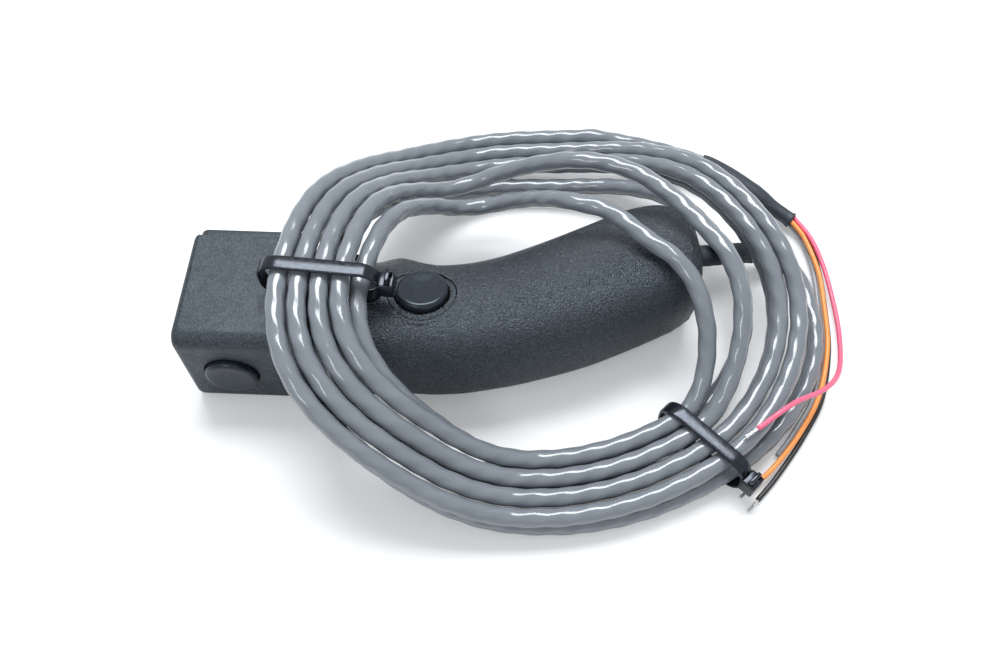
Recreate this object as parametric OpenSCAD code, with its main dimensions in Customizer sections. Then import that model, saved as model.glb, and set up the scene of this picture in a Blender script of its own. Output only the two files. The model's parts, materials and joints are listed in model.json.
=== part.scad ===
// Handheld control unit: a box head and a curved grip in one housing, three push buttons,
// and a signal cable wound into a flat coil that lies over the unit, held by two ties.
// Millimetres. X runs from the head to the grip's end, Y away from the thumb button, Z up.

/* [Head] */
// Length of the box head along the handle
head_l = 36; // [32:1:44]
// Depth of the head casting, from the thumb face to the cover's gasket
head_d = 38.4; // [36:0.2:44]
// Height of the head, and of the whole handle where it lies flat
head_h = 36; // [34:0.5:40]
// Rounding of the two long edges beside the thumb button
head_rear_r = 5; // [3:0.5:7]
// Rounding of the edges round the head's free end
head_end_r = 3; // [1:0.5:5]
// Rounding of the long edges beside the cover
head_front_r = 1.2; // [0.6:0.1:3]
// Wall of the head and grip
wall = 2.6; // [2:0.1:3.5]

/* [Cover] */
// Thickness of the cover plate
cover_t = 2.4; // [1.6:0.1:4]
// How far the cover plate stays in from the head's edges
cover_inset = 1.3; // [0.8:0.1:2]
// Rounding of the cover plate's corners
cover_r = 3; // [1.5:0.5:5]
// Thickness of the gasket under the cover
gasket_t = 0.6; // [0.4:0.1:1]
// Extra inset of the gasket, which leaves the dark seam line
gasket_inset = 0.6; // [0.3:0.1:1]
// Width of the gasket's frame
gasket_w = 3.4; // [2:0.1:4.5]
// Shank diameter of the cover screws
screw_d = 2.5; // [2:0.1:3]
// Head diameter of the cover screws
screw_head_d = 4.6; // [3.6:0.1:5.2]
// Length of the cover screws under the head
screw_l = 9; // [7:0.5:14]
// Distance of the screws from the head's edges
screw_inset = 5.4; // [4.8:0.1:7]
// Diameter of the screw posts inside the head
screw_post_d = 6; // [5:0.5:8]

/* [Grip] */
// Length of the whole handle, head and grip
handle_l = 157.8; // [150:0.5:170]
// Reach of the curved grip, from the thumb face to its farthest point
grip_reach = 67.4; // [62:0.5:72]
// Thickness of the grip at its fullest
grip_t = 33.6; // [31:0.1:33.6]

/* [Buttons] */
// Diameter of a button cap
cap_d = 15.9; // [14:0.1:17]
// Thickness of a button cap
cap_t = 3.2; // [2.4:0.1:4]
// Rounding of a cap's rim
cap_r = 1.4; // [0.6:0.1:1.8]
// Depth of the finger dish in a cap
cap_dish = 0.5; // [0.2:0.1:0.9]
// Gap between a cap and its pocket
cap_gap = 0.4; // [0.3:0.05:0.8]
// Travel of a button when pressed
travel = 1.8; // [1:0.1:2]
// Space under a cap at rest, over the bush flange
cap_lift = 2.5; // [2.2:0.1:3.4]
// How far a cap's underside lies below the skin at rest
cap_sink = 0.9; // [0.4:0.1:1.4]
// Diameter of the plunger
plunger_d = 5; // [4:0.1:6]
// Running clearance of the plunger in its bush, on the radius
run_gap = 0.05; // [0.02:0.01:0.1]
// Outer diameter of the threaded bush
bush_d = 12; // [9:0.1:12.5]
// Diameter of the bush flange
flange_d = 14.4; // [13:0.1:15.4]
// Thickness of the bush flange
flange_t = 0.8; // [0.5:0.1:1.2]
// Length of the bush below its flange
bush_l = 5.2; // [4.9:0.1:7]
// Fit of the bush in the housing, on the radius
bush_gap = 0.05; // [0.02:0.01:0.1]
// Housing floor that the bush is clamped on
floor_t = 2.4; // [2:0.1:3]
// Width across the flats of the bush nut
nut_af = 15; // [14:0.5:16]
// Thickness of the bush nut
nut_t = 2; // [1.5:0.1:2.4]
// Diameter of the return spring
spring_d = 9; // [8:0.1:11]
// Radial thickness of the spring's coil
spring_w = 1.1; // [0.8:0.1:1.3]
// Width of a switch body, both ways
switch_w = 13; // [11:0.5:13.5]
// Depth of a switch body along its plunger
switch_l = 9; // [8:0.5:10]
// Clear bore in the switch body round the plunger
switch_bore_d = 5.8; // [5.6:0.1:6.6]
// Spare depth of that bore under a pressed plunger
bore_spare = 0.6; // [0.4:0.1:1]
// How far the plunger enters the switch body at rest
plunger_in = 2.2; // [1.6:0.1:2.4]
// Width of a switch terminal
blade_w = 2.4; // [1.6:0.1:3]
// Thickness of a switch terminal
blade_t = 0.6; // [0.4:0.1:0.8]
// Length of a switch terminal
blade_l = 4.2; // [3:0.1:4.5]
// Spacing of the three terminals
blade_pitch = 4; // [3.4:0.1:4.4]

/* [Button places] */
// Thumb button, from the head's free end
thumb_x = 14.9; // [13:0.1:17]
// Trigger, from the head's free end
trigger_x = 45.3; // [45:0.1:50]
// How far the trigger's seat stands out from the grip's skin
trigger_out = 1.4; // [0.4:0.1:2]
// Side button, from the head's free end
side_x = 72; // [70:0.5:84]
// Side button's distance in from the grip's rear edge
side_in = 22.2; // [19:0.1:24]
// Lean of the side button toward the trigger side
side_lean = 12; // [6:1:16]
// Diameter of the round insert that carries the side button
ring_d = 21; // [20.2:0.1:24]

/* [Cable entry] */
// Diameter of the cable
cable_d = 5.5; // [5:0.1:6]
// Diameter of the sleeve over the cable at the handle
sleeve_d = 7; // [6.6:0.1:8]
// Diameter of the entry ferrule in the grip's end
ferrule_d = 10.4; // [9.6:0.1:12]
// Length of the entry ferrule inside the wall
ferrule_l = 7; // [5:0.5:9]
// How far the ferrule stands out of the grip's end
ferrule_out = 1; // [0.4:0.1:2]
// Entry's distance from the thumb face
entry_y = 52; // [49:0.5:53]
// Entry's height
entry_z = 14; // [13:0.5:19]
// Diameter of the slotted set screw at the grip's end
set_d = 4; // [3:0.1:5]
// Length of the set screw
set_l = 6; // [4:0.5:8]
// Direction of the set screw, measured from the handle's length
set_turn = -42; // [-60:1:-30]
// Height of the set screw
set_z = 12; // [9:0.5:16]

/* [Inside] */
// Terminal block length
block_l = 15; // [12:0.5:18]
// Terminal block depth
block_d = 11; // [9:0.5:13]
// Terminal block height
block_h = 8; // [6:0.5:10]
// Height of the block's seat
block_z = 9; // [7:0.5:11]
// Place of the block along the handle
block_x = 96; // [94:0.5:100]
// Diameter of the wire loom from the switches
loom_d = 3.2; // [2.4:0.1:4]
// Diameter of the cable inside the grip
inner_d = 5.5; // [5:0.1:6]
// Distance of the cable clamp from the block's place
clamp_off = 42; // [38:0.5:44]
// Width of the cable clamp bar
clamp_w = 7; // [5:0.5:9]
// Length of the cable clamp bar
clamp_l = 17; // [15:0.5:19]
// Thickness of the cable clamp bar
clamp_t = 2; // [1.5:0.1:3]
// Diameter of the clamp and block posts
post_d = 5; // [4:0.5:6]

/* [Ties and leads] */
// Width of a cable tie's band
tie_w = 4.5; // [3.5:0.1:5]
// Thickness of a cable tie's band
tie_t = 1.2; // [0.9:0.1:1.4]
// Clearance of a band round the loops it holds
tie_gap = 0.5; // [0.3:0.05:0.8]
// Slack of a band at the sides of the loops it holds
tie_slack = 1.4; // [0.8:0.1:2]
// Size of a tie's locking head
tie_head = 5.6; // [4.5:0.1:6.5]
// Length of the cut tail beyond a tie's locking head
tie_tail = 2.4; // [1:0.1:6]
// Diameter of the heat shrink over the cable's far end
shrink_d = 7.4; // [6.5:0.1:8]
// Diameter of the heat shrink's drawn-in mouth
shrink_mouth_d = 5; // [4.8:0.1:6]
// Diameter of a lead wire
lead_d = 1.6; // [1.2:0.1:2]
// Diameter of the bared strands at a lead's end
bare_d = 1; // [0.7:0.1:1.2]

/* [Coil] */
// Middle of the coil along the handle
coil_x = 112; // [108:1:116]
// Middle of the coil across the handle
coil_y = 30; // [28:1:32]
// Turns of the loose lower layer
lower_turns = 2.56; // [2.5:0.01:2.62]
// Turns in all
coil_turns = 6.79; // [6.7:0.01:6.9]
// Step from one loop to the next in the tight upper layer
loop_step = 6.1; // [6:0.05:6.4]
// Rise from the lower layer to the upper
layer_rise = 6; // [5.95:0.05:6.4]
// Where the coil starts, as an angle from the handle's length
coil_start = 6.4; // [5:0.1:12]

/* [Hidden] */

// One overrun serves every cut
over = 1;
mid_z = head_h / 2;
black = [0.13, 0.14, 0.15];
grey = [0.50, 0.52, 0.55];

// Middle of the handle's box, which is set over the origin
ferrule_end = handle_l + ferrule_out;
origin_x = ferrule_end / 2;
thumb_proud = cap_t - cap_sink;
origin_y = (grip_reach - thumb_proud) / 2;
module place() translate([-origin_x, -origin_y, 0]) children();

// Grip stations: place along the handle, rear and front edges as shares of the reach, half
// thickness as a share of the grip's, squareness of the section, and its wedge as a share
grip_shares = [
    [0.165, 0.005, 0.560, 1.03, 9.0, 0.00], [0.228, 0.003, 0.560, 1.03, 7.0, 0.00],
    [0.279, -0.009, 0.556, 1.02, 4.5, 0.08], [0.317, -0.016, 0.562, 1.01, 3.4, 0.18],
    [0.355, -0.021, 0.582, 1.00, 2.7, 0.27], [0.380, -0.022, 0.613, 1.00, 2.4, 0.31],
    [0.399, -0.022, 0.629, 1.00, 2.3, 0.33], [0.425, -0.022, 0.620, 1.00, 2.2, 0.33],
    [0.450, -0.022, 0.605, 1.00, 2.2, 0.33], [0.482, -0.022, 0.598, 1.00, 2.2, 0.33],
    [0.539, -0.010, 0.616, 1.00, 2.2, 0.33], [0.589, 0.013, 0.651, 1.00, 2.2, 0.33],
    [0.640, 0.040, 0.702, 1.00, 2.2, 0.33], [0.691, 0.076, 0.761, 1.00, 2.2, 0.33],
    [0.741, 0.114, 0.823, 1.00, 2.2, 0.33], [0.792, 0.160, 0.887, 1.00, 2.2, 0.33],
    [0.843, 0.217, 0.950, 1.00, 2.2, 0.33], [0.887, 0.269, 0.988, 1.00, 2.2, 0.32],
    [0.925, 0.318, 1.000, 1.00, 2.2, 0.30], [0.951, 0.353, 0.985, 0.99, 2.2, 0.28],
    [0.973, 0.390, 0.944, 0.95, 2.2, 0.25], [0.989, 0.424, 0.868, 0.86, 2.2, 0.22],
    [0.997, 0.460, 0.779, 0.72, 2.2, 0.20], [1.000, 0.504, 0.682, 0.55, 2.2, 0.20]];
grip_sides = 32;
core_sides = 20;

function mix(a, b, t) = a + (b - a) * t;
function smooth(a, b, x) = let (t = min(1, max(0, (x - a) / (b - a)))) t * t * (3 - 2 * t);
function power(v, e) = sign(v) * pow(abs(v), e);
// One station's ring, drawn in by an inset
function grip_ring(row, inset, sides) = let (
        rear = row[1] * grip_reach + inset, front = row[2] * grip_reach - inset,
        half = row[3] * grip_t / 2 - inset, bend = 2 / row[4])
    [for (i = [0:sides - 1]) let (a = 360 * i / sides, across = power(cos(a), bend))
        [row[0] * handle_l, (rear + front) / 2 + (front - rear) / 2 * across,
            mid_z + half * power(sin(a), bend) * (1 - row[5] * across)]];
// The grip's row at any place along the handle
function grip_row(x) = let (s = x / handle_l,
        i = max([for (k = [0:len(grip_shares) - 2]) grip_shares[k][0] <= s ? k : 0]),
        a = grip_shares[i], b = grip_shares[i + 1])
    mix(a, b, (s - a[0]) / (b[0] - a[0]));
function grip_rear(x) = grip_row(x)[1] * grip_reach;
function grip_front(x) = grip_row(x)[2] * grip_reach;
// Height of the grip's upper skin over a point
function grip_top(x, y) = let (row = grip_row(x), rear = grip_rear(x), front = grip_front(x),
        across = (2 * y - rear - front) / (front - rear))
    mid_z + row[3] * grip_t / 2 * pow(1 - pow(abs(across), row[4]), 1 / row[4])
        * (1 - row[5] * across);

// A tube or loft through rings of points, closed at both ends
module skin(rings) {
    n = len(rings[0]);
    last = len(rings) - 1;
    polyhedron(points = [for (ring = rings) each ring], faces = concat(
        [[for (i = [0:n - 1]) i]], [[for (i = [n - 1:-1:0]) last * n + i]],
        [for (k = [0:last - 1], i = [0:n - 1]) let (j = (i + 1) % n)
            [k * n + i, (k + 1) * n + i, k * n + j]],
        [for (k = [0:last - 1], i = [0:n - 1]) let (j = (i + 1) % n)
            [(k + 1) * n + i, (k + 1) * n + j, k * n + j]]), convexity = 6);
}

function unit(v) = v / norm(v);
// A ring of points round p, square to the direction t
function round_ring(p, t, d, sides) = let (side = unit(cross(t, [0, 0, 1])), up = cross(side, t))
    [for (i = [0:sides - 1]) let (a = 360 * (i + 0.5) / sides)
        p + d / 2 / cos(180 / sides) * (cos(a) * side + sin(a) * up)];
// A smooth curve through a route's points, with some steps between two of them
function route_at(p, i, f) = let (n = len(p) - 1, b = p[i], c = p[min(i + 1, n)],
        a = i == 0 ? 2 * b - c : p[i - 1], d = i + 2 > n ? 2 * c - b : p[i + 2])
    b + f / 2 * (c - a + f * (2 * a - 5 * b + 4 * c - d + f * (3 * (b - c) + d - a)));
function route(p, steps) = [for (i = [0:len(p) - 2], k = [0:steps - 1]) route_at(p, i, k / steps),
    p[len(p) - 1]];
function heading(p, i) = unit(p[min(i + 1, len(p) - 1)] - p[max(i - 1, 0)]);
module tube(points, d, sides, steps = 1, first = undef, last = undef) {
    p = route(points, steps);
    n = len(p) - 1;
    skin([for (i = [0:n]) round_ring(p[i],
        i == 0 && !is_undef(first) ? first : i == n && !is_undef(last) ? last : heading(p, i),
        is_list(d) ? mix(d[0], d[1], smooth(0.5, 0.8, i / n)) : d, sides)]);
}

// A rectangle with its own rounding at each corner: near left, near right, far right, far left
module rounded(w, h, r) {
    spots = [[0, 0], [1, 0], [1, 1], [0, 1]];
    difference() {
        square([w, h]);
        for (i = [0:3]) translate([spots[i][0] * (w - r[i]), spots[i][1] * (h - r[i])]) square(r[i]);
    }
    for (i = [0:3])
        translate([mix(r[i], w - r[i], spots[i][0]), mix(r[i], h - r[i], spots[i][1])])
            circle(r[i], $fn = 48);
}

// Solid head: the same box seen from three sides
module head_block() {
    intersection() {
        linear_extrude(head_h) rounded(head_l, head_d,
            [head_end_r, head_front_r, head_front_r, head_end_r / 2]);
        translate([0, head_d, 0]) rotate([90, 0, 0]) linear_extrude(head_d)
            rounded(head_l, head_h, [head_end_r, head_front_r, head_front_r, head_end_r]);
        rotate([90, 0, 90]) linear_extrude(head_l)
            rounded(head_d, head_h, [head_rear_r, head_front_r, head_front_r, head_rear_r]);
    }
}
module grip_body() skin([for (row = grip_shares) grip_ring(row, 0, grip_sides)]);
// The hollow inside the grip stops a wall short of its end
core_l = handle_l - wall;
module grip_core() {
    scale_in = core_l / handle_l;
    skin([for (row = grip_shares) [for (p = grip_ring(row, wall, core_sides))
        [p[0] * scale_in, p[1], p[2]]]]);
}
module head_core() translate([wall, wall, wall])
    cube([head_l - wall, head_d - wall + over, head_h - 2 * wall]);

// Each button has its own frame: its origin on the skin and Z out of the handle
seat_z = -cap_sink - cap_lift - flange_t;
side_y = grip_rear(side_x) + side_in;
trigger_y = grip_front(trigger_x) + trigger_out;
module at_thumb() translate([thumb_x, 0, mid_z]) rotate([90, 0, 0]) children();
module at_trigger() translate([trigger_x, trigger_y, mid_z]) rotate([-90, 0, 0]) children();
module at_side() translate([side_x, side_y, grip_top(side_x, side_y)])
    rotate([-side_lean, 0, 0]) children();

pocket_d = cap_d + 2 * cap_gap;
boss_d = pocket_d + wall;
module pocket() {
    translate([0, 0, seat_z]) cylinder(d = pocket_d, h = 20 * over - seat_z, $fn = 64);
    translate([0, 0, seat_z - floor_t - over])
        cylinder(d = bush_d + 2 * bush_gap, h = floor_t + 2 * over, $fn = 48);
}
module boss(d) translate([0, 0, seat_z - floor_t]) cylinder(d = d, h = floor_t - seat_z, $fn = 64);

module cap() {
    r = cap_d / 2;
    dish_r = r - cap_r;
    rim = [for (a = [0:15:90]) [r - cap_r + cap_r * cos(a), cap_t - cap_r + cap_r * sin(a)]];
    dish = [for (i = [1:8]) let (s = 1 - i / 8) [dish_r * s, cap_t - cap_dish * (1 - s * s)]];
    translate([0, 0, -cap_sink]) rotate_extrude($fn = 96)
        polygon(concat([[0, 0], [r, 0]], rim, dish));
}
plunger_l = cap_lift + flange_t + bush_l + plunger_in;
module plunger() translate([0, 0, -cap_sink - plunger_l])
    cylinder(d = plunger_d, h = plunger_l, $fn = 48);
module spring() translate([0, 0, -cap_sink - cap_lift]) difference() {
    cylinder(d = spring_d, h = cap_lift, $fn = 48);
    translate([0, 0, -over]) cylinder(d = spring_d - 2 * spring_w, h = cap_lift + 2 * over, $fn = 48);
}
module bush() difference() {
    union() {
        translate([0, 0, seat_z]) cylinder(d = flange_d, h = flange_t, $fn = 48);
        translate([0, 0, seat_z - bush_l]) cylinder(d = bush_d, h = bush_l, $fn = 48);
    }
    translate([0, 0, seat_z - bush_l - over])
        cylinder(d = plunger_d + 2 * run_gap, h = bush_l + flange_t + 2 * over, $fn = 48);
}
module nut() translate([0, 0, seat_z - floor_t - nut_t]) difference() {
    cylinder(d = nut_af / cos(30), h = nut_t, $fn = 6);
    translate([0, 0, -over]) cylinder(d = bush_d + 2 * bush_gap, h = nut_t + 2 * over, $fn = 48);
}
switch_z = seat_z - bush_l;
switch_bore_l = plunger_in + travel + bore_spare;
module switch() difference() {
    translate([-switch_w / 2, -switch_w / 2, switch_z - switch_l])
        cube([switch_w, switch_w, switch_l]);
    translate([0, 0, switch_z - switch_bore_l])
        cylinder(d = switch_bore_d, h = switch_bore_l + over, $fn = 48);
}
module terminals() for (i = [-1:1])
    translate([i * blade_pitch - blade_w / 2, -blade_t / 2, switch_z - switch_l - blade_l])
        cube([blade_w, blade_t, blade_l]);

// Places of the four cover screws on the head's front
screw_spots = [for (x = [screw_inset, head_l - screw_inset], z = [screw_inset, head_h - screw_inset])
    [x, z]];
module at_screws() for (s = screw_spots)
    translate([s[0], head_d + gasket_t + cover_t, s[1]]) rotate([-90, 0, 0]) children();

// Terminal block and clamp places, in the middle of the grip's hollow
block_y = (grip_rear(block_x) + grip_front(block_x)) / 2 - block_d / 2;
block_posts = [[block_x + block_l / 5, block_y + block_d / 2],
    [block_x + block_l * 4 / 5, block_y + block_d / 2]];
clamp_x = block_x + clamp_off;
clamp_y = (grip_rear(clamp_x) + grip_front(clamp_x)) / 2;
clamp_turn = 32;
post_out = clamp_l / 2 - post_d / 2;
clamp_z = entry_z + inner_d * 0.54;
clamp_posts = [for (s = [-1, 1])
    [clamp_x - s * post_out * sin(clamp_turn), clamp_y + s * post_out * cos(clamp_turn)]];
set_x = handle_l - wall;
set_y = grip_row(handle_l * 0.98)[1] * grip_reach + wall;
module at_set() translate([set_x, set_y, set_z]) rotate([0, 90, set_turn]) children();

module grip_housing() place() color(black) difference() {
    union() {
        head_block();
        grip_body();
    }
    difference() {
        union() {
            head_core();
            grip_core();
        }
        at_thumb() boss(boss_d);
        at_trigger() boss(boss_d);
        at_side() boss(ring_d + wall);
        for (s = screw_spots) translate([s[0], 0, s[1]]) rotate([-90, 0, 0])
            cylinder(d = screw_post_d, h = head_d, $fn = 32);
        for (s = block_posts) translate([s[0], s[1], 0]) cylinder(d = post_d, h = block_z, $fn = 32);
        for (s = clamp_posts) translate([s[0], s[1], 0]) cylinder(d = post_d, h = clamp_z, $fn = 32);
        translate([handle_l - wall - ferrule_l, entry_y, entry_z]) rotate([0, 90, 0])
            cylinder(d = ferrule_d + wall, h = ferrule_l + wall, $fn = 48);
        at_set() translate([0, 0, -set_l]) cylinder(d = set_d + 2 * wall, h = set_l + wall, $fn = 48);
    }
    at_thumb() pocket();
    at_trigger() pocket();
    at_side() translate([0, 0, seat_z - floor_t - over])
        cylinder(d = ring_d + 2 * bush_gap, h = 20 * over, $fn = 64);
    for (s = screw_spots) translate([s[0], head_d - screw_l, s[1]]) rotate([-90, 0, 0])
        cylinder(d = screw_d, h = screw_l + over, $fn = 32);
    for (s = block_posts) translate([s[0], s[1], block_z - 2 * screw_d])
        cylinder(d = screw_d, h = 2 * screw_d + over, $fn = 32);
    for (s = clamp_posts) translate([s[0], s[1], clamp_z - 2 * screw_d])
        cylinder(d = screw_d, h = 2 * screw_d + over, $fn = 32);
    translate([handle_l - wall - ferrule_l - over, entry_y, entry_z]) rotate([0, 90, 0])
        cylinder(d = ferrule_d, h = ferrule_l + wall + 4 * over, $fn = 48);
    at_set() translate([0, 0, -set_l]) cylinder(d = set_d, h = set_l + 6 * over, $fn = 32);
}

module head_cover() place() color(black) difference() {
    translate([cover_inset, head_d + gasket_t + cover_t, cover_inset]) rotate([90, 0, 0])
        linear_extrude(cover_t) rounded(head_l - 2 * cover_inset, head_h - 2 * cover_inset,
            [cover_r, cover_r, cover_r, cover_r]);
    at_screws() translate([0, 0, -cover_t - over]) cylinder(d = screw_d, h = cover_t + 2 * over, $fn = 32);
    at_screws() translate([0, 0, -cover_t / 2]) cylinder(d = screw_head_d, h = cover_t, $fn = 32);
}
module cover_gasket() place() color([0.05, 0.05, 0.05]) {
    inset = cover_inset + gasket_inset;
    w = head_l - 2 * inset;
    h = head_h - 2 * inset;
    r = cover_r - gasket_inset;
    difference() {
        translate([inset, head_d + gasket_t, inset]) rotate([90, 0, 0]) linear_extrude(gasket_t)
            difference() {
                rounded(w, h, [r, r, r, r]);
                translate([gasket_w, gasket_w]) rounded(w - 2 * gasket_w, h - 2 * gasket_w, [r, r, r, r]);
            }
        at_screws() translate([0, 0, -cover_t - 2 * gasket_t])
            cylinder(d = screw_d, h = 3 * gasket_t, $fn = 32);
    }
}
module cap_screw(shank, head_t) {
    difference() {
        translate([0, 0, -head_t]) cylinder(d = screw_head_d, h = head_t, $fn = 32);
        translate([-screw_head_d / 2, -screw_d / 8, -head_t / 2])
            cube([screw_head_d, screw_d / 4, head_t]);
    }
    translate([0, 0, -head_t - shank]) cylinder(d = screw_d, h = shank, $fn = 32);
}
module cover_screws() place() color("silver") at_screws()
    cap_screw(screw_l + gasket_t - cover_t / 2, cover_t / 2);

module side_ring() place() color(black) difference() {
    intersection() {
        grip_body();
        at_side() translate([0, 0, seat_z - floor_t]) cylinder(d = ring_d, h = ring_d, $fn = 96);
    }
    at_side() pocket();
}

module thumb_cap() place() color(black) at_thumb() cap();
module thumb_plunger() place() color("silver") at_thumb() plunger();
module thumb_spring() place() color("silver") at_thumb() spring();
module thumb_bush() place() color("gold") at_thumb() bush();
module thumb_nut() place() color("gold") at_thumb() nut();
module thumb_switch() place() color("maroon") at_thumb() switch();
module thumb_terminals() place() color("gold") at_thumb() terminals();
module side_cap() place() color(black) at_side() cap();
module side_plunger() place() color("silver") at_side() plunger();
module side_spring() place() color("silver") at_side() spring();
module side_bush() place() color("gold") at_side() bush();
module side_nut() place() color("gold") at_side() nut();
module side_switch() place() color("maroon") at_side() switch();
module side_terminals() place() color("gold") at_side() terminals();
module trigger_cap() place() color(black) at_trigger() cap();
module trigger_plunger() place() color("silver") at_trigger() plunger();
module trigger_spring() place() color("silver") at_trigger() spring();
module trigger_bush() place() color("gold") at_trigger() bush();
module trigger_nut() place() color("gold") at_trigger() nut();
module trigger_switch() place() color("maroon") at_trigger() switch();
module trigger_terminals() place() color("gold") at_trigger() terminals();

module terminal_block() place() color("ivory") difference() {
    translate([block_x, block_y, block_z]) cube([block_l, block_d, block_h]);
    for (s = block_posts) translate([s[0], s[1], block_z - over])
        cylinder(d = screw_d, h = block_h + 2 * over, $fn = 32);
    for (s = block_posts) translate([s[0], s[1], block_z + block_h - cover_t / 2])
        cylinder(d = screw_head_d, h = cover_t, $fn = 32);
}
module block_screws() place() color("silver") for (s = block_posts)
    translate([s[0], s[1], block_z + block_h])
        cap_screw(block_h + 2 * screw_d - cover_t / 2, cover_t / 2);

// Wires from the three switches, tied into one loom under them
loom_z = wall + loom_d * 1.4;
loom_high = screw_inset + screw_post_d / 2 + loom_d * 0.75;
loom_start = [thumb_x + switch_w / 2 + loom_d, -switch_z + switch_l + blade_l + loom_d,
    loom_high + loom_d / 2];
loom_route = [loom_start, [head_l - screw_inset - screw_post_d / 2, head_d / 2, loom_high],
    [head_l - screw_inset + screw_post_d / 2, head_d / 2, loom_high],
    [trigger_x - switch_w / 2, head_d / 2, (loom_high + loom_z) / 2],
    [trigger_x + switch_w / 2, head_d / 2, loom_z], [side_x, side_y, loom_z],
    [block_x - loom_d * 2, block_y + block_d / 2, block_z + block_h / 2],
    [block_x, block_y + block_d / 2, block_z + block_h / 2]];
module wire_loom() place() color("dimgray") tube(loom_route, loom_d, 8, 2, [0, -1, 0], [1, 0, 0]);

// Cable inside the grip, from the block to the ferrule
inner_route = [[block_x + block_l, block_y + block_d / 2, block_z + block_h / 2],
    [block_x + block_l + inner_d * 2, block_y + block_d * 0.8, entry_z - inner_d / 4],
    [clamp_x, clamp_y, entry_z], [handle_l - wall - ferrule_l - inner_d, entry_y - inner_d / 3, entry_z],
    [handle_l - wall - ferrule_l, entry_y, entry_z]];
module inner_cable() place() color(grey) tube(inner_route, inner_d, 10, 2, [1, 0, 0], [1, 0, 0]);
module cable_clamp() place() color("silver") difference() {
    translate([clamp_x, clamp_y, clamp_z + clamp_t / 2]) rotate([0, 0, clamp_turn])
        cube([clamp_w, clamp_l, clamp_t], center = true);
    for (s = clamp_posts) translate([s[0], s[1], clamp_z - over])
        cylinder(d = screw_d, h = clamp_t + 2 * over, $fn = 32);
}
module clamp_screws() place() color("silver") for (s = clamp_posts)
    translate([s[0], s[1], clamp_z + clamp_t + cover_t / 2]) cap_screw(clamp_t + 2 * screw_d, cover_t / 2);

module set_screw() place() color("dimgray") at_set() difference() {
    translate([0, 0, -set_l]) cylinder(d = set_d, h = set_l, $fn = 32);
    translate([-set_d / 2, -set_d / 10, -set_d / 4]) cube([set_d, set_d / 5, set_d]);
}
// Ferrule in the grip's end, with the sleeve's root seated in it
module entry_ferrule() place() color([0.08, 0.08, 0.09])
    translate([handle_l - wall - ferrule_l, entry_y, entry_z]) rotate([0, 90, 0])
        cylinder(d = ferrule_d, h = ferrule_end - (handle_l - wall - ferrule_l), $fn = 48);

// Free cable: sleeve, exit, coil and tail, through points chosen by hand
sleeve_route = [[ferrule_end, entry_y, entry_z], [166, 53.6, 13], [173.6, 56.2, 10.8],
    [180.8, 58.2, 8.4], [187.2, 58.4, 6.4], [192.4, 55.9, 5.2]];
sleeve_way = unit([0.7, -0.7, -0.12]);
exit_route = [[192.4, 55.9, 5.2], [195.2, 51.2, 4.9]];
tail_route = [[128, 102.3, 14.4], [146, 100.1, 12.6], [164, 96, 10.2]];
shrink_route = [[164, 96, 10.2], [174, 91.3, 8.1], [185, 83.9, 5.9], [196, 76, 4]];
module cable_sleeve() place() color(black)
    tube(sleeve_route, sleeve_d, 12, 1, [1, 0, 0], sleeve_way);

// The coil's outer radius and its lowest lay's height, at even angles round it
rim_r = [81.5, 77.2, 75.5, 72.5, 75, 76.8, 80.4, 86.5, 78, 71.8, 71.8, 77.8];
lay_z = [13, 18.5, 20.6, 19.5, 14.5, 10, 7.5, 7.5, 9.5, 16, 27, 37, 40.6, 40.6, 36.5, 26, 14, 6,
    3.6, 3.4, 3.6, 4.8, 6, 9];
function around(list, a) = let (n = len(list), s = (a % 360 + 360) % 360 / 360 * n,
        i = floor(s), f = s - i, p = list[(i + n - 1) % n], q = list[i % n], r = list[(i + 1) % n],
        t = list[(i + 2) % n])
    q + f / 2 * (r - p + f * (2 * p - 5 * q + 4 * r - t + f * (3 * (q - r) + t - p)));
// Two upper loops cut inward over the grip's end: the first far in, at this height
cut_mid = 36;
cut_far = [28, 125];
cut_near = [14, 80];
cut_in = 15;
cut_z = 33.5;
first_share = 1.8;
hold_mid = 45;
hold_far = [26, 104];
hold_near = [34, 86];
start_flare = 5;
start_z = 4.8;
tight_rank = 4.2;
// Loops lie flat against their own layer: the rank counts steps out from the innermost loop
function lay(u, rank) = let (a = coil_start - 360 * u,
        w = ((a - cut_mid + 180) % 360 + 360) % 360 - 180,
        on = u > 2.5 && u < 4.25 ? 1 : 0,
        reach = w > 0 ? cut_far : cut_near,
        cut = (1 - smooth(reach[0], reach[1], abs(w))) * on * (u < 3.5 ? first_share : 1),
        v = ((a - hold_mid + 180) % 360 + 360) % 360 - 180,
        span = v > 0 ? hold_far : hold_near, hold = (1 - smooth(span[0], span[1], abs(v))) * on,
        r = around(rim_r, a) - (tight_rank - rank) * loop_step - cut_in * cut
            + start_flare * (1 - smooth(0, 0.14, u)),
        low = around(lay_z, a), z = mix(mix(low, start_z, 1 - smooth(0.1, 0.22, u)), cut_z, hold))
    [coil_x + r * cos(a), coil_y + r * sin(a), z];
function rank_of(u) = u < lower_turns ? tight_rank * (1 - u / lower_turns) : u - lower_turns;
function lay_heading(u, rank) = unit(lay(u + 0.002, rank) - lay(u - 0.002, rank));
function coil_at(u) = let (rank = rank_of(u), t = lay_heading(u, rank), up = [0, 0, 1] - t * t[2])
    lay(u, rank) + unit(up) * layer_rise * smooth(lower_turns - 0.25, lower_turns + 0.25, u);
loop_rings = 24;
coil_rings = round(coil_turns * loop_rings);
coil_points = [for (i = [0:coil_rings]) coil_at(coil_turns * i / coil_rings)];
coil_sides = 6;
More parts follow.
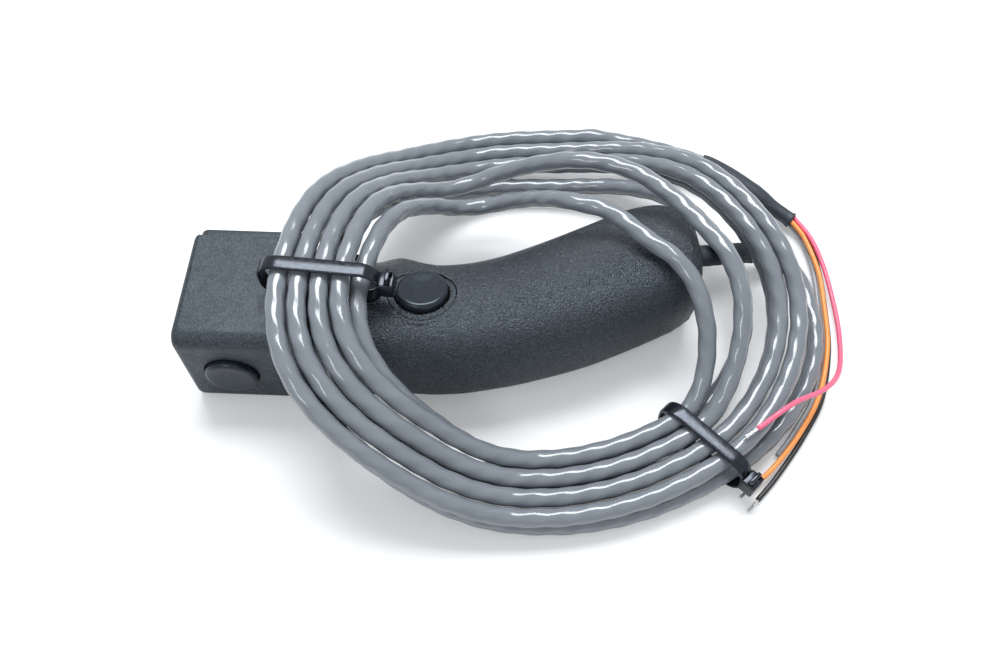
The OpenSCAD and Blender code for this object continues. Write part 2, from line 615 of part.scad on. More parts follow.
// Least gap of the coil to itself, measured between points at least 0.4 of a turn apart
fine = [for (i = [0:coil_rings * 3]) coil_at(coil_turns * i / coil_rings / 3)];
skip = round(loop_rings * 3 * 0.4);
least_gap = min([for (i = [0:len(fine) - 1]) if (i + skip < len(fine))
    min([for (j = [i + skip:len(fine) - 1]) norm(fine[i] - fine[j])])]) - cable_d;
echo(least_gap = least_gap);
coil_in = unit(coil_points[1] - coil_points[0]);
coil_out = unit(coil_points[coil_rings] - coil_points[coil_rings - 1]);
coil_first = coil_points[0] - coil_in * cable_d;
coil_last = coil_points[coil_rings] + coil_out * cable_d;
coil_line = concat([coil_first], coil_points, [coil_last]);
module cable_coil() place() color(grey) skin([for (i = [0:len(coil_line) - 1])
    round_ring(coil_line[i], heading(coil_line, i), cable_d * cos(180 / coil_sides), coil_sides)]);
module cable_exit() place() color(grey)
    tube(concat(exit_route, [coil_first]), cable_d, 8, 2, sleeve_way, coil_in);
module cable_tail() place() color(grey)
    tube(concat([coil_last], tail_route), cable_d, 8, 2, coil_out, unit([0.9, -0.38, -0.15]));
module heat_shrink() place() color(black)
    tube(shrink_route, [shrink_d, shrink_mouth_d], 12, 2, unit([0.9, -0.38, -0.15]),
        unit([0.8, -0.58, -0.1]));

// Leads leave the mouth of the heat shrink side by side and run round the coil's edge
mouth = shrink_route[len(shrink_route) - 1];
mouth_way = unit([0.8, -0.58, -0.1]);
mouth_side = unit(cross(mouth_way, [0, 0, 1]));
function mouth_at(i) = mouth + mouth_side * lead_d * 0.6 * (i % 2 == 0 ? 1 : -1)
    + [0, 0, lead_d * 0.6 * (i < 2 ? 1 : -1)];
red_route = [mouth_at(1), [201.6, 68, 4.6], [204.8, 57, 3.6], [206.4, 43, 3], [206.6, 30, 3],
    [204, 16, 5], [196.6, 6, 10.5], [184.4, -2.6, 17], [173, -11, 16]];
orange_route = [mouth_at(0), [199.4, 68, 4.6], [202.6, 55, 3.9], [202.9, 42, 3.7], [201.9, 25, 3.7],
    [197, 7.4, 3.8], [189.4, -6, 3.8], [180.2, -17.6, 3.4], [172.8, -24.4, 2.8]];
black_route = [mouth_at(3), [201.8, 68, 2.2], [203.9, 57, 1.2], [204, 42, 1.2], [203, 25, 1.2],
    [198.4, 7, 1.2], [190.8, -6.6, 1.2], [181.4, -19.8, 1.2], [174.8, -27.6, 1.2]];
grey_route = [mouth_at(2), [199.4, 68, 2.2], [201.5, 57, 2], [201.6, 44, 1.8], [200.7, 26, 1.8],
    [195.9, 8, 1.8], [187.8, -5.4, 1.6], [182.2, -13, 1.4]];
module lead(points) tube(points, lead_d, 8, 2, mouth_way);
module red_lead() place() color("crimson") lead(red_route);
module orange_lead() place() color("orange") lead(orange_route);
module black_lead() place() color(black) lead(black_route);
module grey_lead() place() color("gray") lead(grey_route);
bare_l = 5;
module bared(points) {
    p = route(points, 2);
    n = len(p) - 1;
    way = heading(p, n);
    tube([p[n], p[n] + way * bare_l], bare_d, 8, 1, way, way);
}
module bared_ends() place() color("silver") {
    bared(red_route);
    bared(orange_route);
    bared(black_route);
}

// Ties: a flat band round the loops, with its locking head on the outer side
module tie(w, h, head_at) {
    r = min(w, h) / 2.5;
    ro = r + tie_t;
    rotate([90, 0, 0]) translate([0, 0, -tie_w / 2]) linear_extrude(tie_w) difference() {
        translate([-tie_t, -tie_t]) rounded(w + 2 * tie_t, h + 2 * tie_t, [ro, ro, ro, ro]);
        rounded(w, h, [r, r, r, r]);
    }
    translate([w + tie_t / 2, -tie_head / 2, head_at]) cube([tie_head * 0.8, tie_head, tie_head]);
    translate([w + tie_t + tie_head / 4, -tie_w / 2, head_at])
        cube([tie_t, tie_w, tie_head + tie_tail]);
}
left_a = 190;
left_turn = -14;
right_a = -43;
function coil_u(a, k) = (coil_start - a) / 360 + k;
left_u = coil_u(left_a - 360, 0);
right_u = coil_u(right_a, 0);
// Distance from the coil's middle of the innermost and outermost loops at each tie
function loop_r(a, rank) = around(rim_r, a) - (tight_rank - rank) * loop_step;
tie_out = cable_d / 2 + tie_gap + tie_slack;
left_in = loop_r(left_a, rank_of(left_u + 2)) - tie_out;
left_out = loop_r(left_a, rank_of(left_u + 6)) + tie_out;
right_in = loop_r(right_a, rank_of(right_u + 3)) - tie_out;
right_out = loop_r(right_a, rank_of(right_u)) + tie_out;
module tie_left() place() color([0.05, 0.05, 0.06]) {
    w = (left_out - left_in) / cos(left_turn);
    middle = (left_in + left_out) / 2;
    h = layer_rise + cable_d + 2 * tie_gap;
    translate([coil_x + middle * cos(left_a), coil_y + middle * sin(left_a),
        around(lay_z, left_a) - cable_d / 2 - tie_gap])
        rotate([0, 0, left_a + 180 + left_turn]) translate([-w / 2, 0, 0]) tie(w, h, h / 3);
}
module tie_right() place() color([0.05, 0.05, 0.06]) {
    w = right_out - right_in;
    h = layer_rise + cable_d + 2 * tie_gap;
    translate([coil_x + right_in * cos(right_a), coil_y + right_in * sin(right_a),
        around(lay_z, right_a) - cable_d / 2 - tie_gap])
        rotate([0, 0, right_a]) tie(w, h, h / 3);
}

grip_housing();
head_cover();
cover_gasket();
cover_screws();
side_ring();
thumb_cap();
thumb_plunger();
thumb_spring();
thumb_bush();
thumb_nut();
thumb_switch();
thumb_terminals();
side_cap();
side_plunger();
side_spring();
side_bush();
side_nut();
side_switch();
side_terminals();
trigger_cap();
trigger_plunger();
trigger_spring();
trigger_bush();
trigger_nut();
trigger_switch();
trigger_terminals();
terminal_block();
block_screws();
wire_loom();
inner_cable();
cable_clamp();
clamp_screws();
set_screw();
entry_ferrule();
cable_sleeve();
cable_exit();
cable_coil();
cable_tail();
heat_shrink();
red_lead();
orange_lead();
black_lead();
grey_lead();
bared_ends();
tie_left();
tie_right();
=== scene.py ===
"""Handheld control unit with its coiled cable: shells, buttons, cords, ties and materials.

Lengths below are millimetres in the handle's own frame: X from the head's free end to the grip's
end, Y away from the thumb button, Z up from the table. place() turns them into the row's metres.
"""
import json
import math

import bmesh
import bpy
import numpy as np
from mathutils import Matrix, Vector
from mathutils.bvhtree import BVHTree


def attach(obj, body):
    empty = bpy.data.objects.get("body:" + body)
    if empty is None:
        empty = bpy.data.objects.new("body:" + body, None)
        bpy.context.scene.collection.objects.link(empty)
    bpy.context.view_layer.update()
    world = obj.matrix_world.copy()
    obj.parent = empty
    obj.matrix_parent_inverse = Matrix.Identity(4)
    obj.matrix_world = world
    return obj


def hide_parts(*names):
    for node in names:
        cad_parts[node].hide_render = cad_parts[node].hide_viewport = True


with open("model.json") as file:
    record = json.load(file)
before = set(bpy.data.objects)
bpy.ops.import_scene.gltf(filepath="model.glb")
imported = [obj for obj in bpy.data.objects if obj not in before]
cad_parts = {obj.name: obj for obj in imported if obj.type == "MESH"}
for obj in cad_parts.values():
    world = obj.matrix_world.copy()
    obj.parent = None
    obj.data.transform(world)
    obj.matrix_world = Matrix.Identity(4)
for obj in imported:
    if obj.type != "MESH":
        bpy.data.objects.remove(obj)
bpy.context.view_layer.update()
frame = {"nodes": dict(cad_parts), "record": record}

MM = 0.001
ORIGIN = np.array([79.4, 32.55, 0.0])
NODES = frame["nodes"]

# Sizes that the solids have too
HEAD_L, HEAD_D, HEAD_H = 36.0, 38.4, 36.0
HANDLE_L, GRIP_REACH, GRIP_T = 157.8, 67.4, 33.6
WALL = 2.6
COVER_T, COVER_INSET, COVER_R, GASKET_T = 2.4, 1.3, 3.0, 0.6
SCREW_INSET, SCREW_HEAD_D = 5.4, 4.6
CAP_D, CAP_T, CAP_R, CAP_DISH, CAP_GAP, CAP_SINK = 15.9, 3.2, 1.4, 0.5, 0.4, 0.9
SEAT_Z, FLOOR_T = -4.2, 2.4
THUMB_X, TRIGGER_X, TRIGGER_OUT = 14.9, 45.3, 1.4
SIDE_X, SIDE_IN, SIDE_LEAN, RING_D = 72.0, 22.2, 12.0, 21.0
CABLE_D, SLEEVE_D, SHRINK_D, MOUTH_D = 5.5, 7.0, 7.4, 5.0
ENTRY = np.array([HANDLE_L + 1.0, 52.0, 14.0])
FERRULE_D = 10.4
SET_D, SET_TURN, SET_Z = 4.0, -42.0, 12.0
LEAD_D, BARE_L = 1.6, 5.0
TIE_W, TIE_T, TIE_GAP, TIE_SLACK, TIE_HEAD, TIE_TAIL = 4.5, 1.2, 0.5, 1.4, 5.6, 2.4
MID_Z = HEAD_H / 2

# Grip stations: place along the handle, rear and front edges as shares of the reach, half
# thickness as a share of the grip's, squareness of the section, and its wedge as a share
GRIP_SHARES = np.array([
    [0.165, 0.005, 0.560, 1.03, 9.0, 0.00], [0.228, 0.003, 0.560, 1.03, 7.0, 0.00],
    [0.279, -0.009, 0.556, 1.02, 4.5, 0.08], [0.317, -0.016, 0.562, 1.01, 3.4, 0.18],
    [0.355, -0.021, 0.582, 1.00, 2.7, 0.27], [0.380, -0.022, 0.613, 1.00, 2.4, 0.31],
    [0.399, -0.022, 0.629, 1.00, 2.3, 0.33], [0.425, -0.022, 0.620, 1.00, 2.2, 0.33],
    [0.450, -0.022, 0.605, 1.00, 2.2, 0.33], [0.482, -0.022, 0.598, 1.00, 2.2, 0.33],
    [0.539, -0.010, 0.616, 1.00, 2.2, 0.33], [0.589, 0.013, 0.651, 1.00, 2.2, 0.33],
    [0.640, 0.040, 0.702, 1.00, 2.2, 0.33], [0.691, 0.076, 0.761, 1.00, 2.2, 0.33],
    [0.741, 0.114, 0.823, 1.00, 2.2, 0.33], [0.792, 0.160, 0.887, 1.00, 2.2, 0.33],
    [0.843, 0.217, 0.950, 1.00, 2.2, 0.33], [0.887, 0.269, 0.988, 1.00, 2.2, 0.32],
    [0.925, 0.318, 1.000, 1.00, 2.2, 0.30], [0.951, 0.353, 0.985, 0.99, 2.2, 0.28],
    [0.973, 0.390, 0.944, 0.95, 2.2, 0.25], [0.989, 0.424, 0.868, 0.86, 2.2, 0.22],
    [0.997, 0.460, 0.779, 0.72, 2.2, 0.20], [1.000, 0.504, 0.682, 0.55, 2.2, 0.20]])

# Cable route: sleeve, way to the coil, coil, tail and heat shrink
SLEEVE_ROUTE = [ENTRY, (166, 53.6, 13), (173.6, 56.2, 10.8), (180.8, 58.2, 8.4),
                (187.2, 58.4, 6.4), (192.4, 55.9, 5.2)]
EXIT_POINT = (195.2, 51.2, 4.9)
TAIL_ROUTE = [(128, 102.3, 14.4), (146, 100.1, 12.6), (164, 96, 10.2)]
SHRINK_ROUTE = [(164, 96, 10.2), (174, 91.3, 8.1), (185, 83.9, 5.9), (196, 76, 4)]
COIL_MID = np.array([112.0, 30.0])
LOWER_TURNS, COIL_TURNS, LOOP_STEP, LAYER_RISE, COIL_START = 2.56, 6.79, 6.1, 6.0, 6.4
RIM_R = [81.5, 77.2, 75.5, 72.5, 75, 76.8, 80.4, 86.5, 78, 71.8, 71.8, 77.8]
LAY_Z = [13, 18.5, 20.6, 19.5, 14.5, 10, 7.5, 7.5, 9.5, 16, 27, 37, 40.6, 40.6, 36.5, 26, 14, 6,
         3.6, 3.4, 3.6, 4.8, 6, 9]
CUT_MID, CUT_FAR, CUT_NEAR, CUT_IN, CUT_Z, FIRST_SHARE = 36, (28, 125), (14, 80), 15, 33.5, 1.8
HOLD_MID, HOLD_FAR, HOLD_NEAR = 45, (26, 104), (34, 86)
START_FLARE, START_Z, TIGHT_RANK = 5.0, 4.8, 4.2
TURN_POINTS = 480

# The jacket's shallow ridges over its twisted cores, as shares of the radius, and their pitches
RIDGES, RIDGE, RIDGE_PITCH = 3, 0.034, 26
SWAY, SWAY_PITCH = 0.012, 13
STRANDS, STRAND_R, STRAND_OUT = 7, 0.13, 0.30

# Cuts in the housing: how far they reach out, their play, the bush hole, the bosses' top
CUT_OUT, LOOSE, BUSH_HOLE_R, BOSS_TOP = 20, 0.05, 6.05, -1.2

# Softened edges of the head: its rear corners, its free end and its front rim
HEAD_REAR_R, HEAD_END_R, HEAD_RIM_R = 5, 2.6, 0.8

# Camera that the photograph was taken with, and the lens on a 36 mm wide sensor
CAMERA_AT = np.array([101.67, -131.37, 270.6])
CAMERA_TILT, CAMERA_TURN, LENS, SENSOR = 30.5, 2.39, 33.95, 36


def place(points):
    """Millimetres in the handle's frame to metres in the row frame."""
    return (np.asarray(points, float) - ORIGIN) * MM


def smooth(a, b, x):
    t = np.clip((x - a) / (b - a), 0, 1)
    return t * t * (3 - 2 * t)


def unit(v):
    v = np.asarray(v, float)
    return v / np.linalg.norm(v, axis=-1, keepdims=True)


def spline(p, q, r, t, f):
    """The smooth curve through four neighbours, a share f of the way from q to r."""
    return q + f / 2 * (r - p + f * (2 * p - 5 * q + 4 * r - t + f * (3 * (q - r) + t - p)))


def through(points, steps):
    """A smooth line through points, with steps parts between two of them."""
    p = np.asarray(points, float)
    p = np.vstack([2 * p[0] - p[1], p, 2 * p[-1] - p[-2]])
    out = [spline(p[i], p[i + 1], p[i + 2], p[i + 3], k / steps)
           for i in range(len(p) - 3) for k in range(steps)]
    return np.array(out + [p[-2]])


def even(points, step):
    """The same line with its points an even step apart."""
    p = np.asarray(points, float)
    s = np.concatenate([[0], np.cumsum(np.linalg.norm(np.diff(p, axis=0), axis=1))])
    at = np.linspace(0, s[-1], max(2, int(round(s[-1] / step)) + 1))
    return np.stack([np.interp(at, s, p[:, k]) for k in range(3)], axis=1)


def line_length(points):
    return float(np.linalg.norm(np.diff(points, axis=0), axis=1).sum())


def relax(points, rounds, share=0.5):
    """Evens out small kinks of a line, its ends held."""
    p = np.array(points, float)
    for _ in range(rounds):
        p[1:-1] += share * ((p[:-2] + p[2:]) / 2 - p[1:-1])
    return p


# Meshes and objects

def make_object(name, verts, faces, body="handle"):
    mesh = bpy.data.meshes.new(name)
    mesh.from_pydata([tuple(v) for v in verts], [], [tuple(f) for f in faces])
    mesh.validate()
    obj = bpy.data.objects.new(name, mesh)
    bpy.context.scene.collection.objects.link(obj)
    if body:
        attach(obj, body)
    return obj


def from_bmesh(name, bm):
    mesh = bpy.data.meshes.new(name)
    bm.to_mesh(mesh)
    bm.free()
    obj = bpy.data.objects.new(name, mesh)
    bpy.context.scene.collection.objects.link(obj)
    return obj


def shade(obj, angle=35):
    obj.data.shade_smooth()
    obj.data.set_sharp_from_angle(angle=math.radians(angle))


def ring_faces(rows, sides, caps=True, closed=False):
    faces = []
    for k in range(rows if closed else rows - 1):
        m = (k + 1) % rows
        for i in range(sides):
            j = (i + 1) % sides
            faces.append((k * sides + i, k * sides + j, m * sides + j, m * sides + i))
    if caps and not closed:
        faces.append(tuple(range(sides - 1, -1, -1)))
        faces.append(tuple((rows - 1) * sides + i for i in range(sides)))
    return faces


def frames(points, closed=False):
    """Side and up vectors carried along a line without twist."""
    p = np.asarray(points, float)
    if closed:
        t = unit(np.roll(p, -1, axis=0) - np.roll(p, 1, axis=0))
    else:
        t = unit(np.gradient(p, axis=0))
    side = np.zeros_like(p)
    first = np.cross(t[0], [0, 0, 1.0])
    side[0] = unit(first if np.linalg.norm(first) > 1e-6 else [1.0, 0, 0])
    for i in range(1, len(p)):
        v = side[i - 1] - t[i] * (side[i - 1] @ t[i])
        side[i] = v / np.linalg.norm(v)
    return t, side, np.cross(side, t)


def tube(name, points, radius, sides=20, body="handle", caps=True):
    """A round tube. radius is a number, or a function of the way along and the angle round."""
    p = np.asarray(points, float)
    _, side, up = frames(p)
    s = np.concatenate([[0], np.cumsum(np.linalg.norm(np.diff(p, axis=0), axis=1))])
    a = np.linspace(0, 2 * np.pi, sides, endpoint=False)
    r = radius(s[:, None], a[None]) if callable(radius) else np.full((len(p), sides), radius)
    ring = p[:, None] + r[..., None] * (np.cos(a)[None, :, None] * side[:, None]
                                        + np.sin(a)[None, :, None] * up[:, None])
    obj = make_object(name, place(ring.reshape(-1, 3)), ring_faces(len(p), sides, caps), body)
    obj.data.shade_smooth()
    return obj


def lathe(name, profile, matrix, body, sides=128, caps=True):
    """A closed profile of (radius, height) turned about a local Z axis."""
    a = np.linspace(0, 2 * np.pi, sides, endpoint=False)
    verts = [(r * math.cos(x), r * math.sin(x), z) for r, z in profile for x in a]
    verts = np.array([matrix @ Vector(v) for v in verts])
    obj = make_object(name, place(verts), ring_faces(len(profile), sides, caps), body)
    shade(obj)
    return obj


def boolean(obj, cutter, operation):
    mod = obj.modifiers.new("cut", "BOOLEAN")
    mod.object = cutter
    mod.operation = operation
    mod.solver = "EXACT"
    dg = bpy.context.evaluated_depsgraph_get()
    mesh = bpy.data.meshes.new_from_object(obj.evaluated_get(dg))
    obj.modifiers.clear()
    old = obj.data
    obj.data = mesh
    bpy.data.meshes.remove(old)
    bpy.data.objects.remove(cutter)


def cylinder(matrix, radius, low, high, sides=96):
    a = np.linspace(0, 2 * np.pi, sides, endpoint=False)
    verts = [matrix @ Vector((radius * math.cos(x), radius * math.sin(x), z))
             for z in (low, high) for x in a]
    return make_object("cutter", place(np.array(verts)), ring_faces(2, sides), None)


# Grip and button places

def grip_row(share):
    """The grip's station values at any share of the handle's length."""
    table = GRIP_SHARES
    i = int(np.clip(np.searchsorted(table[:, 0], share, "right") - 1, 0, len(table) - 2))
    p, q = table[max(i - 1, 0)], table[i]
    r, t = table[i + 1], table[min(i + 2, len(table) - 1)]
    f = (share - q[0]) / (r[0] - q[0])
    if i + 2 >= len(table) or i >= len(table) - 5:
        row = q + (r - q) * f
    else:
        row = spline(p, q, r, t, f)
    row = np.array(row)
    row[0] = share
    return row


def grip_ring(row, inset, sides, shrink=1.0):
    a = np.linspace(0, 2 * np.pi, sides, endpoint=False)
    rear, front = row[1] * GRIP_REACH + inset, row[2] * GRIP_REACH - inset
    half = row[3] * GRIP_T / 2 - inset
    power = 2 / row[4]
    across = np.sign(np.cos(a)) * np.abs(np.cos(a)) ** power
    rise = np.sign(np.sin(a)) * np.abs(np.sin(a)) ** power
    y = (rear + front) / 2 + (front - rear) / 2 * across
    z = MID_Z + half * rise * (1 - row[5] * across)
    return np.stack([np.full(sides, row[0] * HANDLE_L * shrink), y, z], axis=1)


def grip_edge(x, column):
    return float(grip_row(x / HANDLE_L)[column] * GRIP_REACH)


def grip_top(x, y):
    """Height of the grip's skin above a point."""
    row = grip_row(x / HANDLE_L)
    rear, front = row[1] * GRIP_REACH, row[2] * GRIP_REACH
    across = (2 * y - rear - front) / (front - rear)
    return float(MID_Z + row[3] * GRIP_T / 2 * (1 - abs(across) ** row[4]) ** (1 / row[4])
                 * (1 - row[5] * across))


def turned(at, axis, degrees):
    return Matrix.Translation(Vector(at)) @ Matrix.Rotation(math.radians(degrees), 4, axis)


SIDE_Y = grip_edge(SIDE_X, 1) + SIDE_IN
PLACES = {
    "thumb": turned((THUMB_X, 0, MID_Z), "X", 90),
    "trigger": turned((TRIGGER_X, grip_edge(TRIGGER_X, 2) + TRIGGER_OUT, MID_Z), "X", -90),
    "side": turned((SIDE_X, SIDE_Y, grip_top(SIDE_X, SIDE_Y)), "X", -SIDE_LEAN)}


# Coil of cable

def around(values, a):
    """A smooth value at an angle, from values at even angles round the coil."""
    n = len(values)
    v = np.array(values, float)
    s = np.mod(a, 360) / 360 * n
    i = np.floor(s).astype(int) % n
    return spline(v[i - 1], v[i], v[(i + 1) % n], v[(i + 2) % n], s - np.floor(s))


def swing(a, middle):
    return np.mod(a - middle + 180, 360) - 180


def lay(u, rank):
    """A loop's place on its own layer, before the rise of the upper layer."""
    a = COIL_START - 360 * u
    w, v = swing(a, CUT_MID), swing(a, HOLD_MID)
    on = np.where((u > 2.5) & (u < 4.25), 1.0, 0.0)
    cut = (1 - np.where(w > 0, smooth(*CUT_FAR, w), smooth(*CUT_NEAR, -w))) * on
    cut = cut * np.where(u < 3.5, FIRST_SHARE, 1)
    hold = (1 - np.where(v > 0, smooth(*HOLD_FAR, v), smooth(*HOLD_NEAR, -v))) * on
    r = (around(RIM_R, a) - (TIGHT_RANK - rank) * LOOP_STEP - CUT_IN * cut
         + START_FLARE * (1 - smooth(0, 0.14, u)))
    z = around(LAY_Z, a)
    z = z + (START_Z - z) * (1 - smooth(0.1, 0.22, u))
    z = z + (CUT_Z - z) * hold
    return np.stack([COIL_MID[0] + r * np.cos(np.radians(a)),
                     COIL_MID[1] + r * np.sin(np.radians(a)), z], axis=1)


def rank_of(u):
    """A turn's place from the tightest: inward over the lower lay, outward over the upper."""
    return np.where(u < LOWER_TURNS, TIGHT_RANK * (1 - u / LOWER_TURNS), u - LOWER_TURNS)


def coil_at(u):
    rank = rank_of(u)
    t = unit(lay(u + 0.002, rank) - lay(u - 0.002, rank))
    up = unit(np.array([0, 0, 1.0]) - t * t[:, 2:3])
    climb = smooth(LOWER_TURNS - 0.25, LOWER_TURNS + 0.25, u)
    return lay(u, rank) + up * (LAYER_RISE * climb)[:, None]


def cable_line():
    coil = coil_at(np.linspace(0, COIL_TURNS, int(COIL_TURNS * TURN_POINTS)))
    way_in, way_out = unit(coil[1] - coil[0]), unit(coil[-1] - coil[-2])
    lead_in = through([*SLEEVE_ROUTE, EXIT_POINT, coil[0] - way_in * CABLE_D, coil[0]], 8)
    tail = through([coil[-1], coil[-1] + way_out * CABLE_D, *TAIL_ROUTE, SHRINK_ROUTE[1]], 8)
    line = np.vstack([lead_in[:-1], coil, tail[1:]])
    return relax(even(line, 1.0), 12)


# Camera first, then the cords

def make_camera():
    data = bpy.data.cameras.new("camera")
    data.lens = LENS
    data.sensor_width = SENSOR
    data.clip_start, data.clip_end = 0.01, 20
    cam = bpy.data.objects.new("camera", data)
    bpy.context.scene.collection.objects.link(cam)
    cam.location = Vector(place(CAMERA_AT))
    cam.rotation_euler = (math.radians(CAMERA_TILT), 0, math.radians(CAMERA_TURN))
    bpy.context.scene.camera = cam


make_camera()


def jacket(s, a):
    """Radius of the cable's jacket: the twisted cores inside show as shallow ridges."""
    return CABLE_D / 2 * (1 + RIDGE * np.cos(RIDGES * (a - 2 * np.pi * s / RIDGE_PITCH))
                          + SWAY * np.cos(2 * np.pi * s / SWAY_PITCH + a))


def make_cable():
    line = cable_line()
    cable = tube("signal_cable", line, jacket, sides=24)
    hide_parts("cable_exit", "cable_coil", "cable_tail")
    return cable, line


def sleeve_radius(s, a):
    """Radius of the sleeve: a wider root in the ferrule, then a faint waver."""
    root = 0.5 * np.exp(-s / 2.2)
    return SLEEVE_D / 2 * (1 + 0.012 * np.sin(s * 1.9 + 2 * np.sin(a))) + root * 0.6


def make_sleeve():
    line = even(through(SLEEVE_ROUTE, 10), 0.6)
    sleeve = tube("strain_sleeve", line, sleeve_radius, sides=32)
    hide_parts("cable_sleeve")
    return sleeve


def shrink_line():
    return even(through(SHRINK_ROUTE, 10), 0.6)


def shrink_radius(s, a):
    """Radius of the heat shrink: it narrows to its mouth, with faint folds and a flared rim."""
    way = s / line_length(shrink_line())
    body = SHRINK_D / 2 + (MOUTH_D - SHRINK_D) / 2 * smooth(0.55, 0.86, way)
    flare = 0.35 * smooth(0.95, 1.0, way)
    folds = 0.05 * np.sin(5 * a + 3 * np.sin(s / 3)) * smooth(0.4, 0.7, way)
    start = -0.55 * np.exp(-s / 1.6)
    return body + flare + folds + start


def make_shrink():
    shrink = tube("end_shrink", shrink_line(), shrink_radius, sides=32)
    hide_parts("heat_shrink")
    return shrink


MOUTH = np.array(SHRINK_ROUTE[-1], float)
MOUTH_WAY = unit([0.8, -0.58, -0.1])
MOUTH_SIDE = unit(np.cross(MOUTH_WAY, [0, 0, 1]))


def mouth_at(i):
    """One of the four places in the heat shrink's mouth."""
    return (MOUTH + MOUTH_SIDE * LEAD_D * 0.6 * (1 if i % 2 == 0 else -1)
            + np.array([0, 0, LEAD_D * 0.6 * (1 if i < 2 else -1)]))


LEADS = {
    "red": [mouth_at(1), (201.6, 68, 4.6), (204.8, 57, 3.6), (206.4, 43, 3), (206.6, 30, 3),
            (204, 16, 5), (196.6, 6, 10.5), (184.4, -2.6, 17), (173, -11, 16)],
    "orange": [mouth_at(0), (199.4, 68, 4.6), (202.6, 55, 3.9), (202.9, 42, 3.7),
               (201.9, 25, 3.7), (197, 7.4, 3.8), (189.4, -6, 3.8), (180.2, -17.6, 3.4),
               (172.8, -24.4, 2.8)],
    "black": [mouth_at(3), (201.8, 68, 2.2), (203.9, 57, 1.2), (204, 42, 1.2), (203, 25, 1.2),
              (198.4, 7, 1.2), (190.8, -6.6, 1.2), (181.4, -19.8, 1.2), (174.8, -27.6, 1.2)],
    "grey": [mouth_at(2), (199.4, 68, 2.2), (201.5, 57, 2), (201.6, 44, 1.8), (200.7, 26, 1.8),
             (195.9, 8, 1.8), (187.8, -5.4, 1.6), (182.2, -13, 1.4)]}
LEAD_SLOTS = {"red": "red", "orange": "orange", "black": "black_wire", "grey": "grey_wire"}


def make_leads():
    made = []
    for colour, route in LEADS.items():
        line = even(through(route, 12), 0.8)
        lead = tube(f"{colour}_wire", line, LEAD_D / 2, sides=16)
        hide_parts(f"{colour}_lead")
        made.append((colour, lead, line))
    return made


def make_strands(leads):
    """Seven fine tinned strands at each bared end, slightly fanned."""
    strands = []
    for colour, _, line in leads:
        if colour == "grey":
            continue
        t, side, up = frames(line)
        end, way, side, up = line[-1], t[-1], side[-1], up[-1]
        for k in range(STRANDS):
            # The last strand is the middle one, with the others round it
            core = k == STRANDS - 1
            a = 2 * math.pi * k / (STRANDS - 1)
            out = (0.0 if core else STRAND_OUT) * (math.cos(a) * side + math.sin(a) * up)
            twist = (0.0 if core else 1.0) * (-math.sin(a) * side + math.cos(a) * up)
            points = [end - way * 0.5 + out]
            for j in range(1, 7):
                f = j / 6
                fan = out * (1 + 0.25 * f * f) + twist * 0.22 * f
                points.append(end + way * BARE_L * f * (0.94 + 0.02 * (k % 3)) + fan)
            strands.append(tube(f"strand_{colour}_{k}", through(points, 3), STRAND_R,
                                sides=8))
    return join("bared_strands", strands)


def join(name, objects):
    """One object from several, their meshes kept as they are."""
    bm = bmesh.new()
    for o in objects:
        bm.from_mesh(o.data)
    for o in objects:
        bpy.data.objects.remove(o)
    joined = from_bmesh(name, bm)
    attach(joined, "handle")
    joined.data.shade_smooth()
    return joined


cable, cable_path = make_cable()
sleeve = make_sleeve()
shrink = make_shrink()
leads = make_leads()
strands = make_strands(leads)
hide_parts("bared_ends")


# Ties

def tie_frame(angle, turn, at_r, low_z, width, from_inside):
    a = math.radians(angle)
    middle = np.array([COIL_MID[0] + at_r * math.cos(a), COIL_MID[1] + at_r * math.sin(a), low_z])
    matrix = turned(middle, "Z", angle + turn + (0 if from_inside else 180))
    return matrix if from_inside else matrix @ Matrix.Translation((-width / 2, 0, 0))


def loop_r(a, rank):
    return float(around(RIM_R, np.array([a]))[0] - (TIGHT_RANK - rank) * LOOP_STEP)


